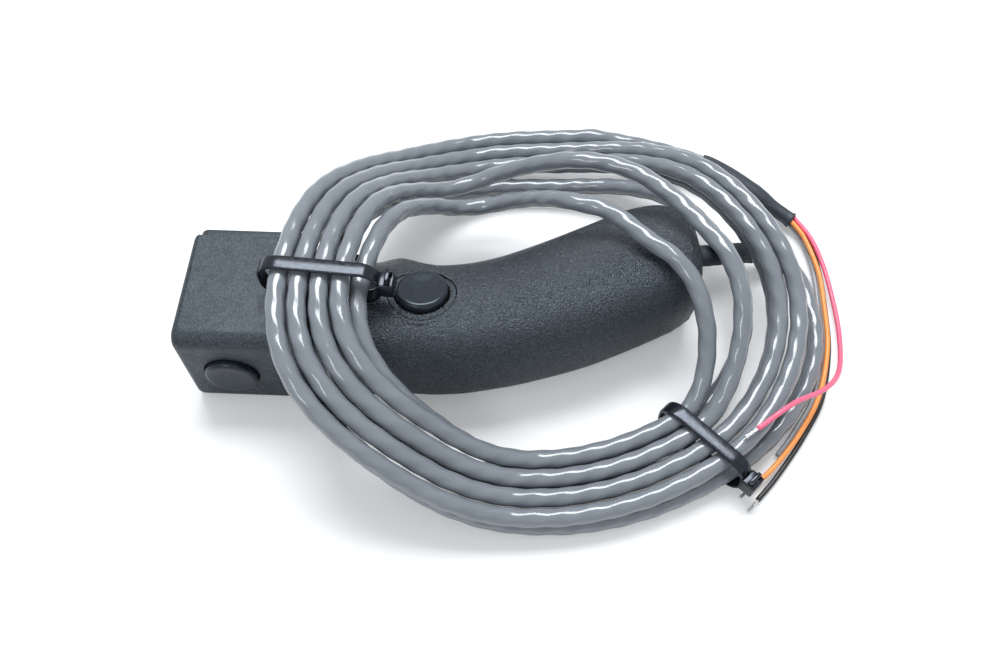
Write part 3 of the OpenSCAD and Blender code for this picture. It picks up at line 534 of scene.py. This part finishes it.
def make_tie(name, node, angle, turn, inner_rank, outer_rank, from_inside, bosses=()):
    edge = CABLE_D / 2 + TIE_GAP + TIE_SLACK
    near, far = loop_r(angle, inner_rank) - edge, loop_r(angle, outer_rank) + edge
    width = (far - near) / math.cos(math.radians(turn))
    height = LAYER_RISE + CABLE_D + 2 * TIE_GAP
    low_z = float(around(LAY_Z, np.array([angle]))[0]) - CABLE_D / 2 - TIE_GAP
    matrix = tie_frame(angle, turn, near if from_inside else (near + far) / 2, low_z, width,
                       from_inside)
    r = height / 2.5
    outline = []
    for cx, cz, start in ((width - r, r, -90), (width - r, height - r, 0), (r, height - r, 90),
                          (r, r, 180)):
        for k in range(13):
            b = math.radians(start + 90 * k / 12)
            outline.append((cx + r * math.cos(b), cz + r * math.sin(b), math.cos(b), math.sin(b)))
    loop = []
    for i, p in enumerate(outline):
        q = outline[(i + 1) % len(outline)]
        gap = math.hypot(q[0] - p[0], q[1] - p[1])
        parts = max(1, int(gap / 0.9))
        for k in range(parts):
            f = k / parts
            loop.append([p[j] + (q[j] - p[j]) * f for j in range(4)])
    # Section of the band: rounded outer edges, and a flat inner face with chamfered edges
    half, t = TIE_W / 2, TIE_T
    section = [(-half, 0.35), (-half, t - 0.35), (-half + 0.3, t - 0.08), (-half + 0.7, t),
               (half - 0.7, t), (half - 0.3, t - 0.08), (half, t - 0.35), (half, 0.35),
               (half - 0.5, 0.05), (-half + 0.5, 0.05)]
    verts = []
    for i, (x, z, nx, nz) in enumerate(loop):
        for w, out in section:
            verts.append(matrix @ Vector((x + nx * out, w, z + nz * out)))
    n = len(section)
    faces = ring_faces(len(loop), n, closed=True)
    band = make_object(name + "_band", place(np.array(verts)), faces)
    head = tie_head(name + "_head", matrix, width, height / 3)
    tail = tie_tail(name + "_tail", matrix, width, height / 3)
    parts = [band, head, tail]
    for degrees in bosses:
        # Round boss on the band, where it turns down to its head
        x = width - r + (r + TIE_T) * math.cos(math.radians(degrees))
        z = height - r + (r + TIE_T) * math.sin(math.radians(degrees))
        at = matrix @ turned((x, 0, z), "Y", 90 - degrees)
        dome = [(0.01, -0.3), (1.15, -0.3), (1.15, 0.12), (1.0, 0.27), (0.7, 0.33), (0.01, 0.34)]
        parts.append(lathe(f"{name}_boss_{degrees}", dome, at, "handle", 40))
    whole = join(name, parts)
    shade(whole, 30)
    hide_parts(node)
    return whole


def soft_box(name, matrix, low, high, bevel, segments=4):
    """A box with rounded edges."""
    bm = bmesh.new()
    bmesh.ops.create_cube(bm, size=1)
    size = np.array(high, float) - np.array(low, float)
    mid = (np.array(high, float) + np.array(low, float)) / 2
    for v in bm.verts:
        v.co = Vector(np.array(v.co) * size + mid)
    bmesh.ops.bevel(bm, geom=bm.edges[:], offset=bevel, segments=segments, profile=0.5,
                    affect="EDGES")
    for v in bm.verts:
        v.co = Vector(place(np.array(matrix @ v.co)))
    return from_bmesh(name, bm)


def tie_head(name, matrix, width, at):
    x = width + TIE_T / 2
    head = soft_box(name, matrix, (x, -TIE_HEAD / 2, at),
                    (x + TIE_HEAD * 0.8, TIE_HEAD / 2, at + TIE_HEAD), 0.6)
    slot_x = width + TIE_T + TIE_HEAD / 4
    cutter = soft_box("cutter", matrix, (slot_x - 0.35, -TIE_W / 2 - 0.1, at + TIE_HEAD - 1.6),
                      (slot_x + TIE_T + 0.5, TIE_W / 2 + 0.1, at + TIE_HEAD + 2), 0.1, 1)
    boolean(head, cutter, "DIFFERENCE")
    return head


def tie_tail(name, matrix, width, at):
    x = width + TIE_T + TIE_HEAD / 4
    return soft_box(name, matrix, (x, -TIE_W / 2 + 0.15, at + 1),
                    (x + TIE_T, TIE_W / 2 - 0.15, at + TIE_HEAD + TIE_TAIL), 0.25, 2)


LEFT_A, LEFT_TURN, RIGHT_A = 190.0, -14.0, -43.0
LEFT_U, RIGHT_U = (COIL_START - LEFT_A + 360) / 360, (COIL_START - RIGHT_A) / 360
left_tie = make_tie("left_tie", "tie_left", LEFT_A, LEFT_TURN, float(rank_of(LEFT_U + 2)),
                    float(rank_of(LEFT_U + 6)), False)
right_tie = make_tie("right_tie", "tie_right", RIGHT_A, 0.0, float(rank_of(RIGHT_U + 3)),
                     float(rank_of(RIGHT_U)), True, bosses=(30, 75))


# Housing

def grip_loft(name, inset, rings, sides, shrink=1.0):
    first, last = GRIP_SHARES[0, 0], GRIP_SHARES[-1, 0]
    way = np.linspace(0, 1, rings)
    # The rounded end gets more rings
    end = 1 - 0.03 * np.linspace(0, 1, 14) ** 2
    shares = np.unique(np.concatenate([first + (last - first) * way, GRIP_SHARES[-6:, 0], end]))
    rows = [grip_ring(grip_row(s), inset, sides, shrink) for s in shares]
    return make_object(name, place(np.vstack(rows)), ring_faces(len(rows), sides), None)


def head_box(name):
    """The head's box: well rounded behind, soft at its free end, crisp round the cover."""
    bm = bmesh.new()
    bmesh.ops.create_cube(bm, size=1)
    for v in bm.verts:
        v.co = Vector(((v.co.x + 0.5) * HEAD_L, (v.co.y + 0.5) * HEAD_D, (v.co.z + 0.5) * HEAD_H))

    def edges(test):
        return [e for e in bm.edges if test(*[v.co for v in e.verts])]
    small = 1e-4
    rear = edges(lambda a, b: abs(a.y) < small and abs(b.y) < small and abs(a.x - b.x) > 1)
    bmesh.ops.bevel(bm, geom=rear, offset=HEAD_REAR_R, segments=12, profile=0.5, affect="EDGES")
    free = edges(lambda a, b: abs(a.x) < small and abs(b.x) < small)
    bmesh.ops.bevel(bm, geom=free, offset=HEAD_END_R, segments=9, profile=0.5, affect="EDGES")
    front = edges(lambda a, b: abs(a.y - HEAD_D) < small and abs(b.y - HEAD_D) < small)
    bmesh.ops.bevel(bm, geom=front, offset=HEAD_RIM_R, segments=4, profile=0.5, affect="EDGES")
    for v in bm.verts:
        v.co = Vector(place(np.array(v.co)))
    return from_bmesh(name, bm)


def box_cutter(low, high):
    return soft_box("cutter", Matrix.Identity(4), low, high, 0.8, 2)


def set_place():
    row = grip_row(0.98)
    at = (HANDLE_L - WALL, row[1] * GRIP_REACH + WALL, SET_Z)
    return turned(at, "Z", SET_TURN) @ Matrix.Rotation(math.radians(90), 4, "Y")


def make_housing():
    housing = grip_loft("housing", 0, 150, 112)
    skin_tree = BVHTree.FromObject(housing, bpy.context.evaluated_depsgraph_get())
    boolean(housing, head_box("head"), "UNION")
    boolean(housing, grip_loft("core", WALL, 40, 40, (HANDLE_L - WALL) / HANDLE_L), "DIFFERENCE")
    boolean(housing, box_cutter((WALL, WALL, WALL), (HEAD_L, HEAD_D + 5, HEAD_H - WALL)),
            "DIFFERENCE")
    for name, matrix in PLACES.items():
        # A boss behind each button closes the hollow round its pocket
        wide = RING_D + WALL if name == "side" else CAP_D + 2 * CAP_GAP + WALL
        deep = SEAT_Z - FLOOR_T
        boolean(housing, cylinder(matrix, wide / 2, deep, BOSS_TOP), "UNION")
        if name == "side":
            boolean(housing, cylinder(matrix, RING_D / 2 + LOOSE, deep - 1, CUT_OUT),
                    "DIFFERENCE")
        else:
            boolean(housing, cylinder(matrix, CAP_D / 2 + CAP_GAP, SEAT_Z, CUT_OUT),
                    "DIFFERENCE")
            boolean(housing, cylinder(matrix, BUSH_HOLE_R, deep - 1, SEAT_Z + 1), "DIFFERENCE")
    bore = turned((HANDLE_L - CUT_OUT, ENTRY[1], ENTRY[2]), "Y", 90)
    boolean(housing, cylinder(bore, FERRULE_D / 2 + 0.03, 8, 30), "DIFFERENCE")
    boolean(housing, cylinder(set_place(), SET_D / 2 + 0.15, -1.2, 8, 48), "DIFFERENCE")
    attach(housing, "handle")
    shade(housing, 32)
    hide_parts("grip_housing")
    return housing, skin_tree


housing, skin_tree = make_housing()


def rounded_outline(w, h, r, steps=10):
    points = []
    for cx, cz, start in ((w - r, r, -90), (w - r, h - r, 0), (r, h - r, 90), (r, r, 180)):
        for k in range(steps + 1):
            b = math.radians(start + 90 * k / steps)
            points.append((cx + r * math.cos(b), cz + r * math.sin(b)))
    return points


def make_cover():
    """Cover plate with softened edges and countersunk screw seats."""
    w, h = HEAD_L - 2 * COVER_INSET, HEAD_H - 2 * COVER_INSET
    inner = HEAD_D + GASKET_T
    layers = [(0, inner), (0, inner + COVER_T - 0.5), (0.12, inner + COVER_T - 0.2),
              (0.32, inner + COVER_T - 0.05), (0.6, inner + COVER_T)]
    verts = []
    for inset, y in layers:
        for x, z in rounded_outline(w - 2 * inset, h - 2 * inset, COVER_R - inset):
            verts.append((COVER_INSET + inset + x, y, COVER_INSET + inset + z))
    n = len(verts) // len(layers)
    faces = [tuple(reversed(f)) for f in ring_faces(len(layers), n)]
    cover = make_object("cover_plate", place(np.array(verts)), faces, None)
    top = inner + COVER_T
    for x in (SCREW_INSET, HEAD_L - SCREW_INSET):
        for z in (SCREW_INSET, HEAD_H - SCREW_INSET):
            at = turned((x, top, z), "X", -90)
            seat = cylinder(at, SCREW_HEAD_D / 2 + LOOSE, -COVER_T / 2, 2, 48)
            boolean(cover, seat, "DIFFERENCE")
    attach(cover, "handle")
    shade(cover, 40)
    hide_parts("head_cover")
    return cover


cover = make_cover()


# Buttons

def cap_profile():
    r = CAP_D / 2
    base = [(0.01, 0), (r - 0.35, 0), (r - 0.1, 0.1), (r, 0.35)]
    rim = [(r - CAP_R + CAP_R * math.cos(b), CAP_T - CAP_R + CAP_R * math.sin(b))
           for b in np.radians(np.linspace(0, 90, 13))]
    dish_r = r - CAP_R
    dish = [(max(dish_r * s, 0.01), CAP_T - CAP_DISH * (1 - s * s) ** 1.5)
            for s in np.linspace(1, 0, 19)[1:]]
    return base + rim + dish


def make_caps():
    made = []
    for name, matrix in PLACES.items():
        lifted = matrix @ Matrix.Translation((0, 0, -CAP_SINK))
        cap = lathe(f"{name}_button", cap_profile(), lifted, f"{name}_button")
        shade(cap, 60)
        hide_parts(f"{name}_cap")
        made.append(cap)
    return made


caps = make_caps()


def make_ring():
    """Insert round the side button: it follows the grip's skin, with a softened edge."""
    matrix = PLACES["side"]
    outer, inner = RING_D / 2, CAP_D / 2 + CAP_GAP
    sides = 144
    down = (matrix.to_3x3() @ Vector((0, 0, -1))).normalized()

    def skin_height(x, y):
        start = Vector(place(np.array(matrix @ Vector((x, y, 12)))))
        hit = skin_tree.ray_cast(start, down)
        return 12 - hit[3] / MM if hit[0] is not None else 0.0
    # Radius and drop below the skin, from the outer wall over the top to the pocket wall
    rows = [(outer, -6.0), (outer, -0.75), (outer - 0.12, -0.35), (outer - 0.35, -0.08),
            (outer - 0.7, 0.0), ((outer + inner) / 2, 0.02), (inner + 0.45, 0.0),
            (inner + 0.15, -0.1), (inner, -0.4), (inner, -6.0)]
    verts = []
    for r, drop in rows:
        for k in range(sides):
            a = 2 * math.pi * k / sides
            x, y = r * math.cos(a), r * math.sin(a)
            z = -6.6 if drop < -5 else skin_height(x, y) + drop
            verts.append(matrix @ Vector((x, y, z)))
    faces = ring_faces(len(rows), sides, closed=True)
    ring = make_object("button_insert", place(np.array(verts)), faces)
    shade(ring, 50)
    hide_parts("side_ring")
    return ring


insert = make_ring()


# Materials

class Nodes:
    """Small helper that builds a node material."""

    def __init__(self, name):
        self.mat = bpy.data.materials.new(name)
        self.mat.use_nodes = True
        self.tree = self.mat.node_tree
        self.bsdf = self.tree.nodes["Principled BSDF"]
        coord = self.tree.nodes.new("ShaderNodeTexCoord")
        self.coord = coord.outputs["Object"]

    def node(self, kind, **values):
        n = self.tree.nodes.new(kind)
        for key, value in values.items():
            if hasattr(n, key):
                setattr(n, key, value)
            else:
                n.inputs[key.replace("_", " ")].default_value = value
        return n

    def link(self, a, b):
        self.tree.links.new(a, b)

    def noise(self, scale, detail=3.0, rough=0.5):
        n = self.node("ShaderNodeTexNoise", Scale=scale, Detail=detail, Roughness=rough)
        self.link(self.coord, n.inputs["Vector"])
        return n.outputs["Fac"]

    def cells(self, scale, feature="F1", smoothness=0.6):
        n = self.node("ShaderNodeTexVoronoi", Scale=scale)
        n.feature = feature
        if feature == "SMOOTH_F1":
            n.inputs["Smoothness"].default_value = smoothness
        self.link(self.coord, n.inputs["Vector"])
        return n.outputs["Distance"]

    def span(self, value, low, high, to_low, to_high):
        n = self.node("ShaderNodeMapRange")
        n.interpolation_type = "SMOOTHSTEP"
        for key, v in zip(("From Min", "From Max", "To Min", "To Max"),
                          (low, high, to_low, to_high)):
            n.inputs[key].default_value = v
        self.link(value, n.inputs["Value"])
        return n.outputs["Result"]

    def math(self, operation, a, b=None):
        n = self.node("ShaderNodeMath")
        n.operation = operation
        for i, v in enumerate((a, b)):
            if v is None:
                continue
            if isinstance(v, (int, float)):
                n.inputs[i].default_value = v
            else:
                self.link(v, n.inputs[i])
        return n.outputs[0]

    def mix(self, factor, a, b):
        n = self.node("ShaderNodeMix")
        n.data_type = "RGBA"
        self.link(factor, n.inputs["Factor"])
        n.inputs[6].default_value = (*a, 1)
        n.inputs[7].default_value = (*b, 1)
        return n.outputs[2]

    def bump(self, height, strength, distance, before=None):
        n = self.node("ShaderNodeBump", Strength=strength, Distance=distance)
        self.link(height, n.inputs["Height"])
        if before is not None:
            self.link(before, n.inputs["Normal"])
        return n.outputs["Normal"]

    def finish(self, colour=None, rough=None, normal=None, **flat):
        if colour is not None:
            self.link(colour, self.bsdf.inputs["Base Color"])
        if rough is not None:
            self.link(rough, self.bsdf.inputs["Roughness"])
        if normal is not None:
            self.link(normal, self.bsdf.inputs["Normal"])
        for key, value in flat.items():
            self.bsdf.inputs[key.replace("_", " ")].default_value = value
        return self.mat


def housing_material():
    """Black textured casting: fine grain on the head, coarser leather-like pebbles on the grip."""
    m = Nodes("housing")
    split = m.node("ShaderNodeSeparateXYZ")
    m.link(m.coord, split.inputs[0])
    grip = m.span(split.outputs["X"], -0.046, -0.030, 0.0, 1.0)
    fine = m.noise(2600, 3, 0.6)
    pebble = m.cells(2300, "SMOOTH_F1", 0.3)
    coarse = m.noise(1700, 3, 0.65)
    grain = m.math("ADD", m.math("MULTIPLY", pebble, -0.9), m.math("MULTIPLY", coarse, 1.1))
    height = m.math("ADD", m.math("MULTIPLY", grain, grip), m.math("MULTIPLY", fine, 0.34))
    normal = m.bump(height, 1.0, 0.00023)
    tone = m.noise(2100, 2, 0.6)
    colour = m.mix(m.span(tone, 0.42, 0.66, 0.0, 1.0), (0.005, 0.0075, 0.0105),
                   (0.040, 0.050, 0.062))
    sheen = m.math("MULTIPLY", grip, -0.19)
    rough = m.math("ADD", m.span(m.noise(300, 3, 0.5), 0.3, 0.7, 0.44, 0.53), sheen)
    return m.finish(colour, rough, normal, IOR=1.6, Specular_Tint=(0.82, 0.92, 1.0, 1))


def button_material():
    m = Nodes("button")
    wear = m.noise(180, 5, 0.65)
    colour = m.mix(wear, (0.009, 0.0125, 0.0165), (0.016, 0.0205, 0.026))
    rough = m.span(m.noise(420, 4, 0.6), 0.3, 0.7, 0.20, 0.29)
    normal = m.bump(m.noise(3000, 2, 0.5), 0.06, 0.0001)
    return m.finish(colour, rough, normal, Specular_Tint=(0.78, 0.90, 1.0, 1))


def cable_material():
    """Grey vinyl jacket, satin, with faint dirt and extrusion waver."""
    m = Nodes("cable")
    tone = m.noise(90, 5, 0.6)
    colour = m.mix(tone, (0.150, 0.168, 0.188), (0.212, 0.234, 0.260))
    rough = m.span(m.noise(260, 4, 0.6), 0.3, 0.7, 0.13, 0.21)
    soft = m.bump(m.noise(110, 1, 0.3), 0.18, 0.0006)
    normal = m.bump(m.noise(2200, 2, 0.5), 0.02, 0.0001, soft)
    return m.finish(colour, rough, normal, Coat_Weight=0.6, Coat_Roughness=0.10)


def rubber_material(name="rubber", rough_low=0.42, rough_high=0.58):
    m = Nodes(name)
    colour = m.mix(m.noise(150, 4, 0.6), (0.024, 0.030, 0.037), (0.040, 0.048, 0.058))
    rough = m.span(m.noise(500, 3, 0.5), 0.3, 0.7, rough_low, rough_high)
    normal = m.bump(m.noise(900, 3, 0.5), 0.15, 0.0002)
    return m.finish(colour, rough, normal, Specular_Tint=(0.85, 0.93, 1.0, 1))


def plastic_material(name, dark, light, rough_low=0.28, rough_high=0.42, tint=(1, 1, 1)):
    m = Nodes(name)
    colour = m.mix(m.noise(200, 4, 0.6), dark, light)
    rough = m.span(m.noise(600, 3, 0.5), 0.3, 0.7, rough_low, rough_high)
    normal = m.bump(m.noise(1500, 2, 0.5), 0.08, 0.00012)
    return m.finish(colour, rough, normal, Specular_Tint=(*tint, 1))


def metal_material(name, dark, light, rough_low, rough_high):
    m = Nodes(name)
    colour = m.mix(m.noise(240, 4, 0.6), dark, light)
    rough = m.span(m.noise(900, 4, 0.6), 0.3, 0.7, rough_low, rough_high)
    normal = m.bump(m.noise(2600, 2, 0.5), 0.08, 0.00008)
    return m.finish(colour, rough, normal, Metallic=1.0)


MATERIALS = {
    "housing": housing_material(),
    "button": button_material(),
    "cable": cable_material(),
    "rubber": rubber_material(),
    "gasket": rubber_material("gasket", 0.6, 0.75),
    "nylon": plastic_material("nylon", (0.006, 0.007, 0.010), (0.012, 0.014, 0.019), 0.13, 0.22,
                              (0.80, 0.87, 1.0)),
    "red": plastic_material("red", (0.80, 0.10, 0.20), (0.90, 0.17, 0.28)),
    "orange": plastic_material("orange", (0.85, 0.26, 0.05), (0.93, 0.36, 0.09)),
    "black_wire": plastic_material("black_wire", (0.015, 0.015, 0.016), (0.028, 0.028, 0.030)),
    "grey_wire": plastic_material("grey_wire", (0.28, 0.29, 0.31), (0.36, 0.37, 0.39)),
    "tinned": metal_material("tinned", (0.62, 0.61, 0.60), (0.78, 0.77, 0.75), 0.22, 0.36),
    "steel": metal_material("steel", (0.50, 0.50, 0.51), (0.64, 0.64, 0.65), 0.28, 0.42),
    "dark_steel": metal_material("dark_steel", (0.05, 0.05, 0.055), (0.10, 0.10, 0.11), 0.35, 0.5),
    "brass": metal_material("brass", (0.62, 0.44, 0.18), (0.76, 0.58, 0.28), 0.25, 0.4),
    "switch": plastic_material("switch", (0.16, 0.02, 0.02), (0.24, 0.035, 0.03)),
    "ivory": plastic_material("ivory", (0.62, 0.59, 0.50), (0.72, 0.69, 0.60), 0.4, 0.5),
    "loom": plastic_material("loom", (0.10, 0.10, 0.11), (0.16, 0.16, 0.17), 0.4, 0.5)}


def paint(obj, key):
    obj.data.materials.clear()
    obj.data.materials.append(MATERIALS[key])


def dress():
    slots = {p["node"]: p["material_slot"] for p in frame["record"]["subparts"]}
    for name, obj in NODES.items():
        paint(obj, slots[name])
    made = {cable: "cable", sleeve: "rubber", shrink: "rubber", strands: "tinned",
            left_tie: "nylon", right_tie: "nylon", housing: "housing", cover: "housing",
            insert: "housing"}
    made.update({cap: "button" for cap in caps})
    made.update({lead: LEAD_SLOTS[colour] for colour, lead, _ in leads})
    for obj, key in made.items():
        paint(obj, key)


dress()


# Floor and light

# Half width of the floor; its own light that only the camera sees, near and far; the sky's
# strength on the object, and as the camera sees it
FLOOR_HALF = 4.0
LIFT_NEAR, LIFT_FAR = 0.2, 0.6
LIFT_FROM, LIFT_TO = 0.4, 1.4
SKY, BACKDROP = 0.66, 1.1


def make_floor():
    h = FLOOR_HALF
    floor = make_object("floor", [(-h, -h, 0), (h, -h, 0), (h, h, 0), (-h, h, 0)],
                        [(0, 1, 2, 3)], None)
    m = bpy.data.materials.new("floor")
    m.use_nodes = True
    tree = m.node_tree
    b = tree.nodes["Principled BSDF"]
    b.inputs["Base Color"].default_value = (0.80, 0.80, 0.80, 1)
    b.inputs["Roughness"].default_value = 0.7
    b.inputs["Emission Color"].default_value = (1, 1, 1, 1)
    path = tree.nodes.new("ShaderNodeLightPath")
    lift = tree.nodes.new("ShaderNodeMath")
    lift.operation = "MULTIPLY"
    # Far from the lamps the floor is lit by the sky alone, so it is lifted more there
    coord = tree.nodes.new("ShaderNodeTexCoord")
    away = tree.nodes.new("ShaderNodeVectorMath")
    away.operation = "LENGTH"
    tree.links.new(coord.outputs["Object"], away.inputs[0])
    rise = tree.nodes.new("ShaderNodeMapRange")
    rise.interpolation_type = "SMOOTHSTEP"
    for key, v in (("From Min", LIFT_FROM), ("From Max", LIFT_TO), ("To Min", LIFT_NEAR),
                   ("To Max", LIFT_FAR)):
        rise.inputs[key].default_value = v
    tree.links.new(away.outputs["Value"], rise.inputs["Value"])
    tree.links.new(rise.outputs["Result"], lift.inputs[1])
    tree.links.new(path.outputs["Is Camera Ray"], lift.inputs[0])
    tree.links.new(lift.outputs[0], b.inputs["Emission Strength"])
    floor.data.materials.append(m)


def area_light(name, at, target, size, power, colour=(1, 1, 1)):
    data = bpy.data.lights.new(name, "AREA")
    data.shape = "RECTANGLE"
    data.size, data.size_y = size
    data.energy = power
    data.color = colour
    obj = bpy.data.objects.new(name, data)
    bpy.context.scene.collection.objects.link(obj)
    obj.location = at
    way = Vector(target) - Vector(at)
    obj.rotation_euler = way.to_track_quat("-Z", "Y").to_euler()


def make_light():
    world = bpy.data.worlds.new("world")
    bpy.context.scene.world = world
    world.use_nodes = True
    back = world.node_tree.nodes["Background"]
    back.inputs["Color"].default_value = (0.92, 0.965, 1.0, 1)
    # The camera sees a white backdrop, and the light on the object stays as it is
    tree = world.node_tree
    path = tree.nodes.new("ShaderNodeLightPath")
    strength = tree.nodes.new("ShaderNodeMapRange")
    strength.inputs["To Min"].default_value = SKY
    strength.inputs["To Max"].default_value = BACKDROP
    tree.links.new(path.outputs["Is Camera Ray"], strength.inputs["Value"])
    tree.links.new(strength.outputs["Result"], back.inputs["Strength"])
    area_light("key", (-0.02, 0.42, 0.95), (0, 0, 0), (0.7, 0.4), 11.0, (0.95, 0.98, 1.0))
    area_light("front", (-0.35, -0.6, 0.8), (0, 0, 0), (0.25, 0.25), 1.2, (0.95, 0.98, 1.0))


make_floor()
make_light()
bpy.context.scene.view_settings.view_transform = "Standard"
